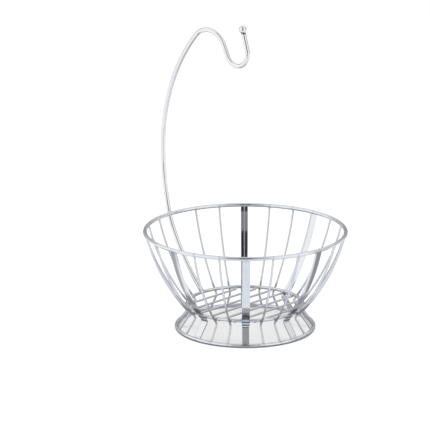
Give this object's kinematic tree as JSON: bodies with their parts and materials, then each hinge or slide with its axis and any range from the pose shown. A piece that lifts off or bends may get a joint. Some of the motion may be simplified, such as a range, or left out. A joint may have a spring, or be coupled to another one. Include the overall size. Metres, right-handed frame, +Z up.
{
  "type": "fruit bowl with banana hanger",
  "caption": "Round fruit bowl of bright-chromed wire and strip on a flared foot, with a bent rod that rises from its side to a ball-ended hook for bananas.",
  "frame": {"origin": "centre of the foot ring, on the table", "axes": "+Z up; -X from the bowl's axis to the hanger; the floor's wires lie along Y"},
  "size_m": [0.282, 0.265, 0.4],
  "materials": {
    "ring_chrome": "mirror plating on round rings",
    "strip_chrome": "mirror plating on flat strips",
    "wire_chrome": "mirror plating on thin wires",
    "hanger_chrome": "mirror plating on the thick rod and its ball"
  },
  "bodies": {
    "root": {"rim_ring": "ring_chrome", "floor_ring": "ring_chrome", "foot_ring": "ring_chrome", "flat_rib_1": "strip_chrome", "flat_rib_2": "strip_chrome", "flat_rib_3": "strip_chrome", "flat_rib_4": "strip_chrome", "flat_rib_5": "strip_chrome", "flat_rib_6": "strip_chrome", "flat_rib_7": "strip_chrome", "wire_rib_01": "wire_chrome", "wire_rib_02": "wire_chrome", "wire_rib_03": "wire_chrome", "wire_rib_04": "wire_chrome", "wire_rib_05": "wire_chrome", "wire_rib_06": "wire_chrome", "wire_rib_07": "wire_chrome", "wire_rib_08": "wire_chrome", "wire_rib_09": "wire_chrome", "wire_rib_10": "wire_chrome", "wire_rib_11": "wire_chrome", "wire_rib_12": "wire_chrome", "wire_rib_13": "wire_chrome", "wire_rib_14": "wire_chrome", "wire_rib_15": "wire_chrome", "wire_rib_16": "wire_chrome", "grid_wire_1": "wire_chrome", "grid_wire_2": "wire_chrome", "grid_wire_3": "wire_chrome", "grid_wire_4": "wire_chrome", "grid_wire_5": "wire_chrome", "grid_wire_6": "wire_chrome", "grid_wire_7": "wire_chrome", "hanger_rod": "hanger_chrome", "hanger_ball": "hanger_chrome"}
  },
  "joints": []
}
